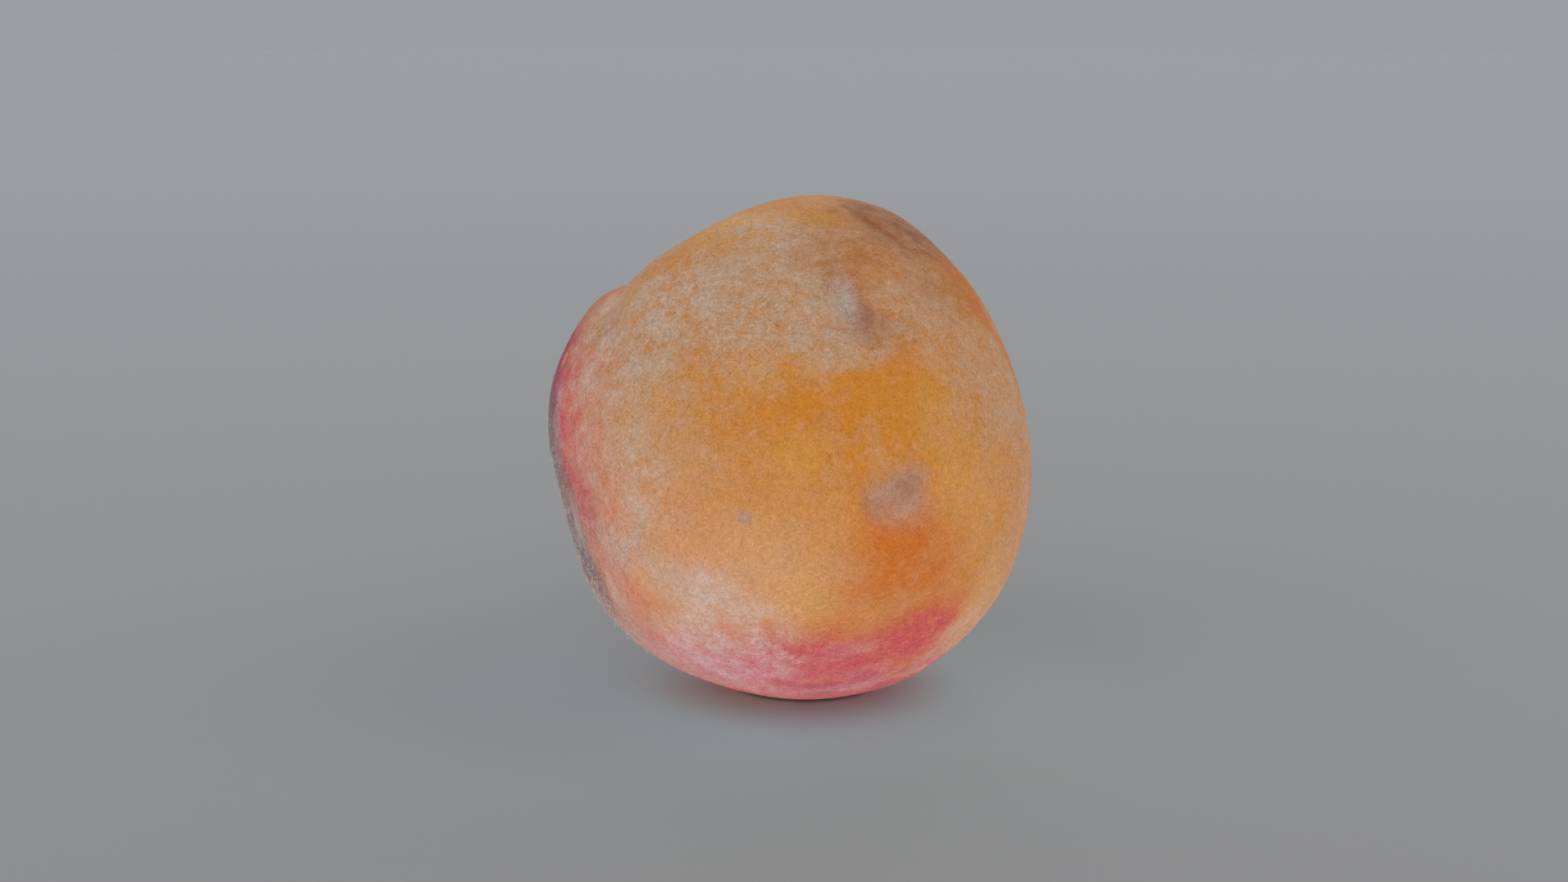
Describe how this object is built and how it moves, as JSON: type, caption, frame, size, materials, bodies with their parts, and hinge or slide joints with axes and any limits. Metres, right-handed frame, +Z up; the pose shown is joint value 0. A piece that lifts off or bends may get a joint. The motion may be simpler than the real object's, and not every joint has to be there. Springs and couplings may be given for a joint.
{
  "type": "peach",
  "caption": "Whole ripe fuzzy peach lying on its side shoulder, with a stem cavity, a fading suture groove, a slight tip and a small flat spot to rest on.",
  "frame": {"origin": "middle of the small flat spot that the fruit rests on", "axes": "+Z up from the surface the fruit rests on, -Y towards the front, +X to the right seen from the front"},
  "size_m": [0.0691, 0.0689, 0.0713],
  "materials": {
    "peach_skin": "matte fuzzy fruit skin"
  },
  "bodies": {
    "root": {"peach": "peach_skin"}
  },
  "joints": []
}
